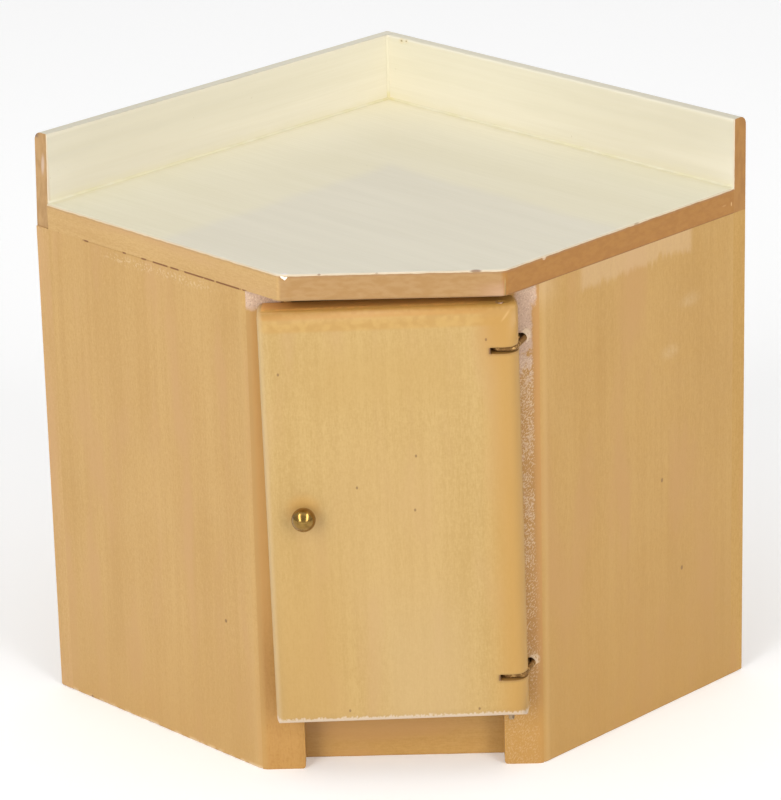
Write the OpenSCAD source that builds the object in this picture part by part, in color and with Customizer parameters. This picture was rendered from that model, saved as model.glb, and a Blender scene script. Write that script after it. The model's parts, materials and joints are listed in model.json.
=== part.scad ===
// Five-sided corner cupboard with a painted worktop, a low upstand along both
// walls and one door that swings on wire loops. A doll's-house size unit of wood.
//
// X runs to the right along the door, Y to the back corner and Z up. The origin
// is on the floor, in the middle of the space that the closed unit takes.

/* [Wall boards] */
// Length of the unit along each of the two walls
wall_len = 72; // [66:0.5:80]
// Thickness of the boards that stand against the walls
back_t = 2.6; // [2.2:0.1:4]
// Height of the cupboard, from the floor to the underside of the worktop
carcass_h = 72.4; // [66:0.1:84]

/* [Side boards and front posts] */
// Depth of each side board, from the wall to the front corner
side_depth = 43.5; // [40:0.5:46]
// Thickness of the side boards
side_t = 3.6; // [3:0.1:4.4]
// Thickness of the two front posts, from front to back
post_t = 3.6; // [3.2:0.1:4.4]
// Width of the left post's front face
left_post_w = 6.25; // [5:0.05:8]
// Width of the right post's front face, which carries the hinges
right_post_w = 5.65; // [4.4:0.05:7]
// Radius sanded on the upright corner between a side board and its post
corner_r = 2.6; // [0.5:0.1:3]

/* [Floor and toe board] */
// Height of the cupboard's floor above the ground
floor_h = 11; // [10:0.1:14]
// Thickness of the floor board
floor_t = 3; // [2:0.1:4]
// Thickness of the toe board that stands behind the posts
toe_t = 3; // [2:0.1:4]

/* [Worktop] */
// Distance by which each side of the worktop runs on past the side board's front corner
top_overhang = 6.9; // [4.5:0.1:8.5]
// Radius on the worktop's two front corners
top_corner_r = 1.8; // [0.5:0.1:3]
// Thickness of the worktop
top_t = 3.8; // [3:0.1:5]
// Height of the upstand above the worktop
upstand_h = 10.2; // [6:0.1:14]
// Thickness of the upstand
upstand_t = 2.6; // [2.2:0.1:4]
// Radius on the upstand's top edge, on the wall side
upstand_r = 1.2; // [0.3:0.1:1.8]

/* [Door] */
// Thickness of the door
door_t = 4.7; // [4.4:0.1:5.2]
// Gap between the back of the door and the posts
door_gap = 0.3; // [0.2:0.05:0.5]
// Distance from the door's free edge to the left front corner, at its foot
left_reveal = 2.5; // [1:0.1:4]
// Distance from the door's hinge edge to the right front corner, at its foot
right_reveal = 2.2; // [1.8:0.1:2.6]
// Height of the door's bottom edge above the ground, at the hinge pins
door_foot = 9.3; // [8:0.1:10]
// Gap between the worktop and the door's top edge, at the hinge pins
door_head_gap = 1.3; // [1:0.1:3]
// Radius on the front edges of the door
door_r = 2.1; // [0.8:0.1:2.2]
// Radius on the four corners of the door, seen from the front
door_corner_r = 1.1; // [0.4:0.1:2]
// Angle by which the door hangs out of true, its free edge low
door_lean = 0.84; // [0:0.02:1.2]

/* [Hinges] */
// Diameter of the wire pins driven into the door's hinge edge
pin_d = 0.84; // [0.7:0.02:0.9]
// Length of each pin
pin_len = 11; // [9.5:0.1:12.5]
// Distance from the pins' axis to the door's hinge edge
pin_inset = 2.5; // [2.3:0.05:2.8]
// Distance from the pins' axis to the door's front face
pin_depth = 1.7; // [1.6:0.05:1.9]
// Distance that the upper pin is sunk below the door's top edge
pin_sink = 0.4; // [0:0.1:0.8]
// Length of the lower pin that stands out of the door's bottom edge
pin_stand_out = 0.6; // [0:0.1:1.5]
// Height of the lower loop above the door's bottom edge
low_loop_h = 6.5; // [5.5:0.1:8]
// Depth of the upper loop below the door's top edge
high_loop_drop = 6.5; // [6:0.1:8]
// Diameter of the wire that the loops are bent from
wire_d = 0.74; // [0.64:0.02:0.78]
// Amount by which the wire's radius swells where it is bent
bend_swell = 0.02; // [0.01:0.005:0.04]
// Running clearance between a loop and its pin
loop_clear = 0.06; // [0.03:0.01:0.1]
// Clearance above and below a loop in the saw cut that it turns in
cut_clear = 0.06; // [0.05:0.01:0.15]
// Spare depth of the saw cut past the loop, which lets the door open wider
cut_spare = 0.16; // [0.15:0.01:0.4]
// Distance from the pins' axis to the holes in the post, across the front
hole_offset = 2.9; // [2.6:0.05:3]
// Radius of the two holes in the post
hole_r = 0.8; // [0.8:0.01:0.9]
// Depth of the two holes in the post
hole_depth = 2.2; // [1.5:0.1:2.6]
// Distance from the post's face to the end of the knee in each leg of wire
knee_gap = 0.1; // [0:0.05:0.6]
// Radius of the knees, to the middle of the wire
knee_r = 0.5; // [0.45:0.05:0.8]
// Straight stretch of wire across the front of the pin
loop_run = 1.2; // [0.9:0.05:1.3]
// Radius of the bend where the wire turns back towards the post
loop_bend_r = 0.9; // [0.7:0.05:1]

/* [Knob] */
// Diameter of the knob's ball
knob_d = 3.4; // [2.4:0.1:4.4]
// Distance from the door's face to the middle of the ball
knob_stand_off = 1.9; // [1.8:0.1:3]
// Diameter of the knob's neck
neck_d = 1.4; // [1:0.1:2]
// Diameter of the knob's pin inside the door
knob_pin_d = 0.9; // [0.6:0.05:1.2]
// Length of the knob's pin inside the door
knob_pin_len = 3; // [2:0.1:4]
// Distance from the door's free edge to the knob
knob_inset = 5.2; // [3.5:0.1:8]
// Height of the knob above the door's bottom edge
knob_h = 32.3; // [20:0.1:45]

/* [Hidden] */
$fn = 64;
diagonal = sqrt(2);
top_depth = side_depth + top_overhang;
// Places along Y, counted from the unit's outer back corner to the front
carcass_front = (wall_len + side_depth) / diagonal;
worktop_front = (wall_len + top_depth) / diagonal;
knob_front = carcass_front + door_gap + door_t + knob_stand_off + knob_d / 2;
unit_depth = max(worktop_front, knob_front);
corner_y = unit_depth / 2;
front_y = corner_y - carcass_front;
// Half the width of the carcass across its front
front_half = (wall_len - side_depth) / diagonal;
// A side board meets its post on the line that halves their 135 degree corner
mitre = tan(22.5);
// Sum of both distances along the walls, for any point on the posts' back face
post_back_sum = wall_len + side_depth - post_t * diagonal;
toe_back_sum = post_back_sum - toe_t * diagonal;
inner_len = wall_len - side_t;
upstand_total = upstand_h + top_t;
// The door hangs from the axis of its pins
door_w = 2 * front_half - left_reveal - right_reveal;
door_h = carcass_h - door_foot - door_head_gap;
door_left = pin_inset - door_w;
door_back = door_t - pin_depth;
pin_x = front_half - right_reveal - pin_inset;
pin_y = front_y - door_gap - door_back;
pin_r = pin_d / 2;
high_loop_h = door_h - high_loop_drop;
post_face = door_back + door_gap;
// The loop's ring, measured to the middle of the wire
wire_r = wire_d / 2;
bent_wire_r = wire_r + bend_swell;
ring_r = pin_r + loop_clear + bent_wire_r;
cut_end = ring_r + bent_wire_r + cut_spare;
cut_h = 2 * (bent_wire_r + cut_clear);
// Length of straight wire that lies inside the bend it meets
wire_lap = 0.1;
// Both legs of a loop press outwards on the wall of their hole
leg_spread = hole_r - wire_r;
knee_y = post_face - knee_gap;
knob_x = door_left + knob_inset;
// Amount by which a cutting shape runs past the face that it cuts
past = 1;

maple = [0.84, 0.67, 0.43];
door_maple = [0.86, 0.71, 0.45];
end_grain = [0.73, 0.52, 0.31];
cream = [0.93, 0.90, 0.78];
brass = [0.62, 0.50, 0.28];
wire_brass = [0.52, 0.42, 0.24];
steel = [0.56, 0.54, 0.50];

// ---- places ---------------------------------------------------------------

// Draws with X along the left wall and Y along the right wall, from the corner
module from_walls() {
    translate([0, corner_y, 0]) rotate([0, 0, -135]) children();
}

// Draws with Y at 0 on the posts' front faces, and behind them above 0
module from_front() {
    translate([0, front_y, 0]) children();
}

// Draws in the hanging door: Z is the axis of its pins, 0 at its bottom edge
module in_door() {
    translate([pin_x, pin_y, door_foot]) rotate([0, -door_lean, 0]) children();
}

// A shape drawn for the left wall, laid along the right wall instead
module on_right_wall() {
    mirror([1, -1, 0]) children();
}

// ---- carcass --------------------------------------------------------------

// Five-sided plan: two walls, two sides and the front across the corner
module corner_plan(start, length, front_sum) {
    far = front_sum - length;
    polygon([[start, start], [length, start], [length, far], [far, length], [start, length]]);
}

// What is sanded off the left front corner of a plan that is so deep at the side
module corner_waste(depth, radius) {
    centre = [wall_len - radius, depth - radius * mitre];
    along = radius * mitre / diagonal;
    difference() {
        polygon([
            [centre.x, centre.y],
            [wall_len + past, centre.y],
            [wall_len + past, depth + past],
            [wall_len - along, depth + along + past * diagonal],
            [wall_len - along, depth + along]
        ]);
        translate(centre) circle(r = radius);
    }
}

module back_board(start) {
    linear_extrude(carcass_h) translate([start, 0]) square([wall_len - start, back_t]);
}

module side_board() {
    linear_extrude(carcass_h) difference() {
        polygon([
            [inner_len, back_t],
            [wall_len, back_t],
            [wall_len, side_depth],
            [inner_len, side_depth - side_t * mitre]
        ]);
        corner_waste(side_depth, corner_r);
    }
}

module left_back_board() {
    color(maple) from_walls() back_board(0);
}

module right_back_board() {
    color(maple) from_walls() on_right_wall() back_board(back_t);
}

module left_side_board() {
    color(maple) from_walls() side_board();
}

module right_side_board() {
    color(maple) from_walls() on_right_wall() side_board();
}

// Plan of a left post, its outer edge bevelled to meet the side board
module post_plan(width) {
    outer = -front_half;
    polygon([
        [outer, 0],
        [outer + width, 0],
        [outer + width, post_t],
        [outer + post_t * mitre, post_t]
    ]);
}

module post(width) {
    difference() {
        from_front() linear_extrude(carcass_h) post_plan(width);
        from_walls() translate([0, 0, -past])
            linear_extrude(carcass_h + 2 * past) corner_waste(side_depth, corner_r);
    }
}

module left_post() {
    color(maple) post(left_post_w);
}

// The holes for the legs of both loops are drilled where the door hangs
module loop_hole(height) {
    in_door() translate([hole_offset, post_face - past, height])
        rotate([-90, 0, 0]) cylinder(r = hole_r, h = hole_depth + past);
}

module right_post() {
    color(maple) difference() {
        mirror([1, 0, 0]) post(right_post_w);
        loop_hole(low_loop_h);
        loop_hole(high_loop_h);
    }
}

module toe_board() {
    color(end_grain) from_walls() linear_extrude(floor_h - floor_t) polygon([
        [inner_len, toe_back_sum - inner_len],
        [inner_len, post_back_sum - inner_len],
        [post_back_sum - inner_len, inner_len],
        [toe_back_sum - inner_len, inner_len]
    ]);
}

module floor_board() {
    color(maple) from_walls() translate([0, 0, floor_h - floor_t])
        linear_extrude(floor_t) corner_plan(back_t, inner_len, post_back_sum);
}

// ---- worktop --------------------------------------------------------------

module worktop() {
    color(cream) from_walls() translate([0, 0, carcass_h]) linear_extrude(top_t) difference() {
        corner_plan(upstand_t, wall_len, wall_len + top_depth);
        corner_waste(top_depth, top_corner_r);
        on_right_wall() corner_waste(top_depth, top_corner_r);
    }
}

// Section of the upstand, its face on X and its back towards the wall at X = 0
module upstand_section() {
    difference() {
        square([upstand_t, upstand_total]);
        difference() {
            translate([-past, upstand_total - upstand_r])
                square([upstand_r + past, upstand_r + past]);
            translate([upstand_r, upstand_total - upstand_r]) circle(r = upstand_r);
        }
    }
}

// One length of upstand along the right wall, from a distance to the corner
module upstand(start) {
    translate([0, wall_len, carcass_h]) rotate([90, 0, 0])
        linear_extrude(wall_len - start) upstand_section();
}

module left_upstand() {
    color(cream) from_walls() on_right_wall() upstand(0);
}

module right_upstand() {
    color(cream) from_walls() upstand(upstand_t);
}

// ---- door -----------------------------------------------------------------

// What rounding takes off a corner at the origin, with the material right and above
module rounding_waste(radius) {
    difference() {
        translate([-past, -past]) square([radius + past, radius + past]);
        translate([radius, radius]) circle(r = radius);
    }
}

// Section of the door from edge to edge, its face on X and both front corners rounded
module door_section(width) {
    difference() {
        square([width, door_t]);
        rounding_waste(door_r);
        translate([width, 0]) mirror([1, 0, 0]) rounding_waste(door_r);
    }
}

// Outline of the door seen from the front
module door_outline() {
    difference() {
        square([door_w, door_h]);
        for (x = [0, door_w]) for (z = [0, door_h])
            translate([x, z]) mirror([x > 0 ? 1 : 0, 0, 0]) mirror([0, z > 0 ? 1 : 0, 0])
                rounding_waste(door_corner_r);
    }
}

// Door blank, its long and short front edges rounded over and its corners eased
module door_blank() {
    translate([door_left, -pin_depth, 0]) intersection() {
        linear_extrude(door_h) door_section(door_w);
        translate([0, 0, door_h]) rotate([0, 90, 0]) linear_extrude(door_w) door_section(door_h);
        translate([0, door_t, 0]) rotate([90, 0, 0]) linear_extrude(door_t) door_outline();
    }
}

// What is taken off the door's back edge so that it turns clear of the post
module swing_waste() {
    translate([0, 0, -past]) difference() {
        cube([pin_inset + past, door_back + past, door_h + 2 * past]);
        cylinder(r = door_back, h = door_h + 2 * past);
    }
}

// Saw cut through the hinge edge, in which a loop turns round its pin
module saw_cut(height) {
    translate([-cut_end, -pin_depth - past, height - cut_h / 2])
        cube([cut_end + pin_inset + past, door_t + 2 * past, cut_h]);
}

module low_pin_place() {
    translate([0, 0, -pin_stand_out]) children();
}

module high_pin_place() {
    translate([0, 0, door_h - pin_sink - pin_len]) children();
}

module pin_wire(extra) {
    cylinder(r = pin_r, h = pin_len + extra);
}

module door() {
    color(door_maple) in_door() difference() {
        door_blank();
        swing_waste();
        saw_cut(low_loop_h);
        saw_cut(high_loop_h);
        low_pin_place() pin_wire(0);
        high_pin_place() pin_wire(pin_sink + past);
        translate([knob_x, -pin_depth - past, knob_h]) rotate([-90, 0, 0])
            cylinder(r = knob_pin_d / 2, h = knob_pin_len + past);
    }
}

module upper_hinge_pin() {
    color(steel) in_door() high_pin_place() pin_wire(0);
}

module lower_hinge_pin() {
    color(steel) in_door() low_pin_place() pin_wire(0);
}

// Ball, neck and pin are turned in one piece
module knob() {
    face = -pin_depth;
    color(brass) in_door() translate([knob_x, face - knob_stand_off, knob_h])
        rotate([-90, 0, 0]) {
            sphere(r = knob_d / 2);
            cylinder(r = neck_d / 2, h = knob_stand_off);
            cylinder(r = knob_pin_d / 2, h = knob_stand_off + knob_pin_len);
        }
}

// ---- wire loops -----------------------------------------------------------

// Bend of wire about a point, from one angle to another
module wire_bend(centre, radius, from, to) {
    translate([centre.x, centre.y, 0]) rotate([0, 0, from])
        rotate_extrude(angle = to - from) translate([radius, 0]) circle(r = bent_wire_r);
}

// Straight wire between two bends, its ends inside them
module wire_between(a, b) {
    run = b - a;
    translate([a.x, a.y, 0]) rotate([0, 0, atan2(run.y, run.x)]) rotate([0, 90, 0])
        translate([0, 0, -wire_lap]) cylinder(r = wire_r, h = norm(run) + 2 * wire_lap);
}

// Straight end of the wire, from its knee to the bottom of the hole in the post
module wire_leg(x) {
    translate([x, knee_y - wire_lap, 0]) rotate([-90, 0, 0])
        cylinder(r = wire_r, h = post_face + hole_depth - knee_y + wire_lap);
}

// Direction of the straight wire that leaves one bend and enters the next, where
// a bend that turns clockwise has a negative radius
function heading(a, a_r, b, b_r) =
    atan2(b.y - a.y, b.x - a.x) - asin((b_r - a_r) / norm(b - a));

// Point where wire with this heading touches the bend about a centre
function touch(centre, radius, heading) =
    centre + radius * [sin(heading), -cos(heading)];

// Loop round the pin: one leg goes straight to the post, and the other crosses
// in front of the pin and bends back beside it
module hinge_loop(height) {
    back_x = hole_offset - leg_spread;
    front_x = hole_offset + leg_spread;
    back_knee = [back_x - knee_r, knee_y];
    front_knee = [front_x - knee_r, knee_y];
    bend = [loop_run, loop_bend_r - ring_r];
    back_way = heading([0, 0], -ring_r, back_knee, knee_r);
    front_way = heading(bend, loop_bend_r, front_knee, knee_r);
    in_door() translate([0, 0, height]) {
        wire_leg(back_x);
        wire_bend(back_knee, knee_r, back_way - 90, 0);
        wire_between(touch([0, 0], -ring_r, back_way), touch(back_knee, knee_r, back_way));
        wire_bend([0, 0], ring_r, back_way + 90, 270);
        wire_between([0, -ring_r], [loop_run, -ring_r]);
        wire_bend(bend, loop_bend_r, -90, front_way - 90);
        wire_between(touch(bend, loop_bend_r, front_way), touch(front_knee, knee_r, front_way));
        wire_bend(front_knee, knee_r, front_way - 90, 0);
        wire_leg(front_x);
    }
}

module upper_hinge_loop() {
    color(wire_brass) hinge_loop(high_loop_h);
}

module lower_hinge_loop() {
    color(wire_brass) hinge_loop(low_loop_h);
}

worktop();
left_upstand();
right_upstand();
left_back_board();
right_back_board();
left_side_board();
right_side_board();
left_post();
right_post();
toe_board();
floor_board();
door();
knob();
upper_hinge_pin();
lower_hinge_pin();
upper_hinge_loop();
lower_hinge_loop();
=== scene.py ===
"""Looks of the five-sided corner cupboard: boards with eased edges, brushed cream paint, worn
lacquer, wire hinges and a brass knob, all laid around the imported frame."""

import json
import math
from collections import namedtuple

import bmesh
import bpy
from mathutils import Euler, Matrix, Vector, noise


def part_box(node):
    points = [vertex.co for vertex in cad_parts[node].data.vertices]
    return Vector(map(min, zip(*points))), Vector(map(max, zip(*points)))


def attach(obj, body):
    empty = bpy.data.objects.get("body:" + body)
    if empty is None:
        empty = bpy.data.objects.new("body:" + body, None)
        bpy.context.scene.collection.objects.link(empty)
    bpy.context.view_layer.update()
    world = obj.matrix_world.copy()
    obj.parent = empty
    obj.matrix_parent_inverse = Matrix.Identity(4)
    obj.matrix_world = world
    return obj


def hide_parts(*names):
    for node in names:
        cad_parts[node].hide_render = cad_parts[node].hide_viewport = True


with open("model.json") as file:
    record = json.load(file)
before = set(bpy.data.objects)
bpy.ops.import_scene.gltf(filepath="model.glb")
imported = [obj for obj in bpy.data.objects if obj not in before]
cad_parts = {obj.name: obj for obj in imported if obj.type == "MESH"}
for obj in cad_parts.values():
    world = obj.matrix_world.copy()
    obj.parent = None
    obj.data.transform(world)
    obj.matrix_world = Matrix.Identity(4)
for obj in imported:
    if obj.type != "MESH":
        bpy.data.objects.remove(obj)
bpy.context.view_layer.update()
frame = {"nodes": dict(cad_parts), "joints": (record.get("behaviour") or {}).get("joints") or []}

MM = 0.001
DIAGONAL = math.sqrt(2)
QUARTER = math.pi / 2
WAVER_SEED = 4
noise.seed_set(WAVER_SEED)

# ---- sizes taken from the frame, in millimetres ---------------------------------------------


def box_mm(node):
    """Lowest and highest corner of a node."""
    low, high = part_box(node)
    return low / MM, high / MM


corner_y = box_mm("left_upstand")[1].y
wall_len = -box_mm("left_upstand")[0].x * DIAGONAL
upstand_t = (corner_y - box_mm("left_upstand")[0].y) * DIAGONAL - wall_len
front_y = box_mm("left_post")[0].y
worktop_front_y = box_mm("worktop")[0].y
under_z = box_mm("worktop")[0].z
top_z = box_mm("worktop")[1].z
upstand_z = box_mm("left_upstand")[1].z
left_post_in = box_mm("left_post")[1].x
right_post_in = box_mm("right_post")[0].x
side_depth = (corner_y - front_y) * DIAGONAL - wall_len
front_corner_x = (wall_len - side_depth) / DIAGONAL

door_joint = frame["joints"][0]
pin_foot = Vector(door_joint["pos_m"]) / MM
door_turn = (0, math.asin(door_joint["axis"][0]), 0)


def from_walls(u, v, z=0.0):
    """A place u along the left wall and v along the right one, from the back corner."""
    return Vector(((v - u) / DIAGONAL, corner_y - (u + v) / DIAGONAL, z))


def along_walls(point):
    """How far a place is along the left wall and along the right wall."""
    reach = corner_y - point.y
    return (reach - point.x) / DIAGONAL, (reach + point.x) / DIAGONAL


def in_door(x, y, z):
    """A place in the hanging door: z along its pins from its foot, x right, y back."""
    return pin_foot + Euler(door_turn).to_matrix() @ Vector((x, y, z))


def door_place(point):
    """The same the other way round: where a place lies in the hanging door."""
    return Euler(door_turn).to_matrix().inverted() @ (point - pin_foot)


def middle_in_door(node):
    """Where the middle of a node lies in the hanging door."""
    low, high = box_mm(node)
    return door_place((low + high) / 2)


door_mesh = [door_place(vert.co / MM) for vert in frame["nodes"]["door"].data.vertices]
door_left = min(point.x for point in door_mesh)
door_right = max(point.x for point in door_mesh)
door_front = min(point.y for point in door_mesh)
door_back = max(point.y for point in door_mesh)
door_h = max(point.z for point in door_mesh)
low_loop_z = middle_in_door("lower_hinge_loop").z
high_loop_z = middle_in_door("upper_hinge_loop").z
cut_half = min(p.z for p in door_mesh if p.z > low_loop_z and abs(p.x - door_right) < 1) - low_loop_z
knob_place = middle_in_door("knob")

# ---- writing materials ----------------------------------------------------------------------


def colour(red, green, blue):
    """A screen colour, 0 to 255, as the shader's linear one."""
    linear = []
    for level in (red, green, blue):
        level /= 255
        linear.append(level / 12.92 if level < 0.04045 else ((level + 0.055) / 1.055) ** 2.4)
    return (*linear, 1)


UPRIGHT = (0, 0, math.radians(45))
ACROSS_FRONT = (0, QUARTER, 0)
ALONG_LEFT_WALL = (QUARTER, 0, math.radians(-45))
ALONG_RIGHT_WALL = (QUARTER, 0, math.radians(45))
OUT_LEFT = (-1 / DIAGONAL, -1 / DIAGONAL, 0)
OUT_RIGHT = (1 / DIAGONAL, -1 / DIAGONAL, 0)
OUT_FRONT = (0, -1, 0)


class Finish:
    """A material and short words for its nodes. Places are in millimetres."""

    def __init__(self, name):
        self.material = bpy.data.materials.new(name)
        self.material.use_nodes = True
        self.tree = self.material.node_tree
        self.tree.nodes.clear()
        output = self.tree.nodes.new("ShaderNodeOutputMaterial")
        self.surface = self.tree.nodes.new("ShaderNodeBsdfPrincipled")
        self.tree.links.new(self.surface.outputs[0], output.inputs[0])
        where = self.tree.nodes.new("ShaderNodeTexCoord")
        self.normal = where.outputs["Normal"]
        self.place = self.vector("SCALE", where.outputs["Object"], scale=1 / MM)

    def put(self, socket, value):
        if isinstance(value, bpy.types.NodeSocket):
            self.tree.links.new(value, socket)
        else:
            socket.default_value = value

    def set(self, **values):
        """Sets or links the shader's sockets, named in lower case with underscores."""
        sockets = {socket.name.lower().replace(" ", "_"): socket for socket in self.surface.inputs}
        for name, value in values.items():
            self.put(sockets[name], value)

    def vector(self, operation, a, b=None, scale=None):
        node = self.tree.nodes.new("ShaderNodeVectorMath")
        node.operation = operation
        self.put(node.inputs[0], a)
        if b is not None:
            self.put(node.inputs[1], b)
        if scale is not None:
            self.put(node.inputs["Scale"], scale)
        return node.outputs["Value" if operation in ("DOT_PRODUCT", "LENGTH") else "Vector"]

    def math(self, operation, a, b):
        node = self.tree.nodes.new("ShaderNodeMath")
        node.operation = operation
        self.put(node.inputs[0], a)
        self.put(node.inputs[1], b)
        return node.outputs[0]

    def chain(self, operation, values):
        total = values[0]
        for value in values[1:]:
            total = self.math(operation, total, value)
        return total

    def times(self, *values):
        return self.chain("MULTIPLY", values)

    def plus(self, *values):
        return self.chain("ADD", values)

    def most(self, *values):
        return self.chain("MAXIMUM", values)

    def least(self, *values):
        return self.chain("MINIMUM", values)

    def minus(self, a, b):
        return self.math("SUBTRACT", a, b)

    def turned(self, turn=(0, 0, 0), size=(1, 1, 1), start=(0, 0, 0)):
        """The place seen from a start, turned, and measured in steps of a size."""
        node = self.tree.nodes.new("ShaderNodeMapping")
        node.vector_type = "TEXTURE"
        self.put(node.inputs["Vector"], self.place)
        node.inputs["Location"].default_value = start
        node.inputs["Rotation"].default_value = turn
        node.inputs["Scale"].default_value = size
        return node.outputs[0]

    def axes(self, turn=(0, 0, 0), start=(0, 0, 0)):
        node = self.tree.nodes.new("ShaderNodeSeparateXYZ")
        self.put(node.inputs[0], self.turned(turn, (1, 1, 1), start))
        return node.outputs

    def wall_axes(self):
        """Distances along the left wall and the right wall, and the height."""
        return self.axes((0, 0, math.radians(-135)), (0, corner_y, 0))

    def door_axes(self):
        return self.axes(door_turn, pin_foot)

    def noise(self, vector, detail=2.0, rough=0.5):
        node = self.tree.nodes.new("ShaderNodeTexNoise")
        self.put(node.inputs["Vector"], vector)
        node.inputs["Scale"].default_value = 1.0
        node.inputs["Detail"].default_value = detail
        node.inputs["Roughness"].default_value = rough
        return node.outputs[0]

    def speckle(self, size, detail=2.0, start=(0, 0, 0)):
        return self.noise(self.turned((0, 0, 0), (size, size, size), start), detail)

    def step(self, value, low, high):
        """A smooth step from 0 to 1 as the value goes from low to high, or back."""
        node = self.tree.nodes.new("ShaderNodeMapRange")
        node.interpolation_type = "SMOOTHSTEP"
        self.put(node.inputs["Value"], value)
        flip = low > high
        node.inputs["From Min"].default_value = high if flip else low
        node.inputs["From Max"].default_value = low if flip else high
        node.inputs["To Min"].default_value = 1.0 if flip else 0.0
        node.inputs["To Max"].default_value = 0.0 if flip else 1.0
        return node.outputs[0]

    def between(self, value, low, high, soft):
        """1 where the value lies from low to high."""
        rise = self.step(value, low - soft, low + soft)
        return self.times(rise, self.step(value, high + soft, high - soft))

    def mix(self, share, a, b):
        node = self.tree.nodes.new("ShaderNodeMix")
        node.data_type = "RGBA"
        self.put(node.inputs[0], share)
        self.put(node.inputs[6], a)
        self.put(node.inputs[7], b)
        return node.outputs[2]

    def over(self, tone, tint, *shares):
        """A tone with a tint laid over it, as thick as the product of the shares."""
        return self.mix(self.times(*shares), tone, tint)

    def blend(self, share, a, b):
        """A plain number between a and b."""
        node = self.tree.nodes.new("ShaderNodeMix")
        node.data_type = "FLOAT"
        self.put(node.inputs[0], share)
        self.put(node.inputs[2], a)
        self.put(node.inputs[3], b)
        return node.outputs[0]

    def spot(self, centre, radii, soft=0.35, turn=(0, 0, 0)):
        """1 within an egg-shaped spot and 0 outside it."""
        reach = self.vector("LENGTH", self.turned(turn, radii, centre))
        return self.step(reach, 1 + soft, 1 - soft)

    def facing(self, direction, low=0.80, high=0.97):
        """1 where the surface faces this way."""
        return self.step(self.vector("DOT_PRODUCT", self.normal, direction), low, high)

    def relief(self, height, depth):
        """Gives the surface a relief that is this deep, in millimetres."""
        node = self.tree.nodes.new("ShaderNodeBump")
        node.inputs["Strength"].default_value = 1.0
        node.inputs["Distance"].default_value = depth * MM
        self.put(node.inputs["Height"], height)
        self.put(self.surface.inputs["Normal"], node.outputs[0])


# ---- wood -----------------------------------------------------------------------------------


WoodTones = namedtuple("WoodTones", "light dark blush")


def tones(red, green, blue):
    """Light, dark and blushing tone of a wood around its middle colour."""
    light = colour(red + 6, green + 7, blue + 6)
    dark = colour(red - 7, green - 8, blue - 11)
    blush = colour(red + 1, green - 2, blue + 5)
    return WoodTones(light, dark, blush)


LEFT_WOOD = tones(179, 141, 82)
RIGHT_WOOD = tones(175, 135, 71)
DOOR_WOOD = tones(175, 143, 86)
POST_WOOD = tones(168, 123, 59)
TOE_WOOD = tones(170, 128, 64)
PALE_WOOD = tones(182, 145, 92)
EDGE_WOOD = tones(182, 145, 89)
LILAC_BLOOM = colour(192, 162, 140)
PALE_FLECK = colour(217, 194, 162)
# Dark brown for pores and knots, and also for painted shade.
PORE_AND_SHADE_BROWN = colour(96, 58, 26)
SEAM_BROWN = colour(112, 58, 12)
PIT_BROWN = colour(140, 114, 96)
FIGURE_MIDDLE = 2.7
FIGURE_HALF = 0.72


def wood(finish, turn, wood_tones, start=(0, 0, 0), figure=1.0):
    """Fine straight-grained wood. Returns its colour and its relief."""

    def grain(across, along, detail=2.0):
        return finish.noise(finish.turned(turn, (across, across, along), start), detail)

    fibre = grain(0.19, 0.95)
    mottle = finish.speckle(0.32, 2.0, start)
    streak = grain(0.75, 30, 3.0)
    band = grain(4.5, 70)
    cloud = grain(7, 19)
    shade = finish.plus(
        finish.times(fibre, 1.5), finish.times(mottle, 1.2), finish.times(streak, 1.0),
        finish.times(band, 0.85), finish.times(cloud, 0.85),
    )
    half = FIGURE_HALF / figure
    figured = finish.step(shade, FIGURE_MIDDLE - half, FIGURE_MIDDLE + half)
    tone = finish.mix(figured, wood_tones.light, wood_tones.dark)
    tone = finish.over(tone, wood_tones.blush, finish.step(grain(5, 26), 0.48, 0.72), 0.75)
    pores = finish.step(grain(0.16, 0.9), 0.70, 0.82)
    tone = finish.over(tone, PORE_AND_SHADE_BROWN, pores, 0.22 * figure)
    return tone, finish.plus(finish.times(fibre, 0.6), finish.times(streak, 0.4))


def lacquer(finish, tone, height, depth=0.012):
    """A thin, worn satin lacquer over the wood."""
    patches = finish.speckle(6, 3)
    gloss = finish.blend(patches, 0.42, 0.62)
    finish.set(base_color=tone, roughness=gloss, coat_weight=0.12, coat_roughness=0.4)
    finish.relief(height, depth)
    return finish.material


def pencil_dots(finish, tone, places, radius=0.2, share=0.75):
    """Small dark knots and pores at given places."""
    for place in places:
        dot = finish.spot(place, (radius, radius, radius * 1.4))
        tone = finish.over(tone, PORE_AND_SHADE_BROWN, dot, share)
    return tone


def bloom(finish, tone, amount, fleck_amount):
    """Milky lacquer and pale flecks, each as thick as its amount from 0 to 1."""
    grains = finish.noise(finish.turned((0, 0.5, 0), (0.17, 0.17, 0.36)), 1)
    veil = finish.step(finish.plus(finish.times(finish.speckle(0.9), 0.7), amount), 0.72, 1.25)
    tone = finish.over(tone, LILAC_BLOOM, veil, 0.9)
    flecks = finish.step(finish.plus(grains, finish.times(fleck_amount, 0.2)), 0.66, 0.76)
    tone = finish.over(tone, PALE_FLECK, flecks, finish.step(fleck_amount, 0.0, 0.8), 0.6)
    pits = finish.plus(finish.speckle(0.2, 1.0, (7, 7, 7)), finish.times(amount, 0.1))
    pits = finish.step(pits, 0.66, 0.78)
    return finish.over(tone, PIT_BROWN, pits, finish.step(amount, 0.2, 0.8), 0.45)


def seam_dashes(finish, along):
    """1 where the seam under the worktop's left edge is open. The dashes grow longer forward."""
    dashes = finish.noise(finish.turned(ALONG_RIGHT_WALL, (5, 5, 1.5)), 2)
    opened = finish.plus(dashes, finish.times(finish.step(along, 8, side_depth + 2.5), 0.26))
    return finish.step(opened, 0.585, 0.63)


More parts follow.
